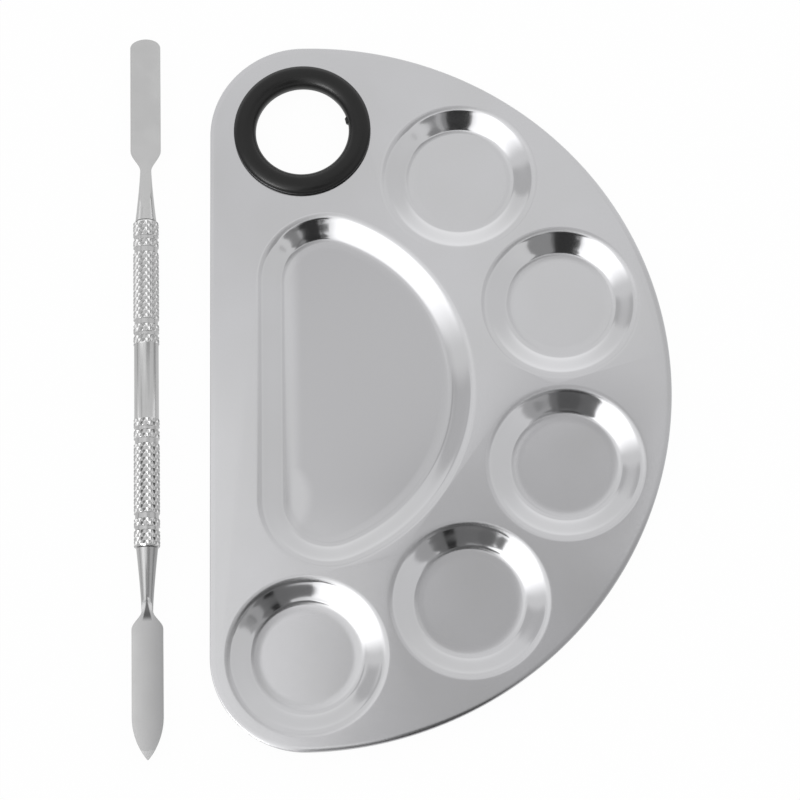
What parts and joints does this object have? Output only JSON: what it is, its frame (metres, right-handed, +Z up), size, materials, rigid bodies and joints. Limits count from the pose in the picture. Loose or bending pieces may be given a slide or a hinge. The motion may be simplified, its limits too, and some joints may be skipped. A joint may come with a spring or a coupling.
{
  "type": "paint mixing palette with spatula",
  "caption": "Half-moon mixing palette pressed from steel sheet, with round wells, a D-shaped tray and a rubber-lined thumb hole, and a knurled double-ended spatula beside it.",
  "frame": {"origin": "the table level, under the middle of the set's footprint", "axes": "+Y along the palette's straight side and the spatula, towards the thumb hole; +X towards the round side; +Z up, out of the wells"},
  "size_m": [0.1152, 0.159, 0.0056],
  "materials": {
    "plate_steel": "satin rolled sheet, brighter on the drawn walls",
    "black_rubber": "moulded, satin",
    "handle_steel": "diamond knurl with turned grooves and a polished middle",
    "blade_steel": "polished"
  },
  "bodies": {
    "palette": {"palette_plate": "plate_steel", "thumb_hole_grommet": "black_rubber"},
    "spatula": {"spatula_handle": "handle_steel", "flat_blade": "blade_steel", "pointed_blade": "blade_steel"}
  },
  "joints": [
    {"name": "spatula_lift", "type": "slide", "parent": "palette", "child": "spatula", "axis": [0, 0, 1], "range_m": [0, 0.1]}
  ]
}
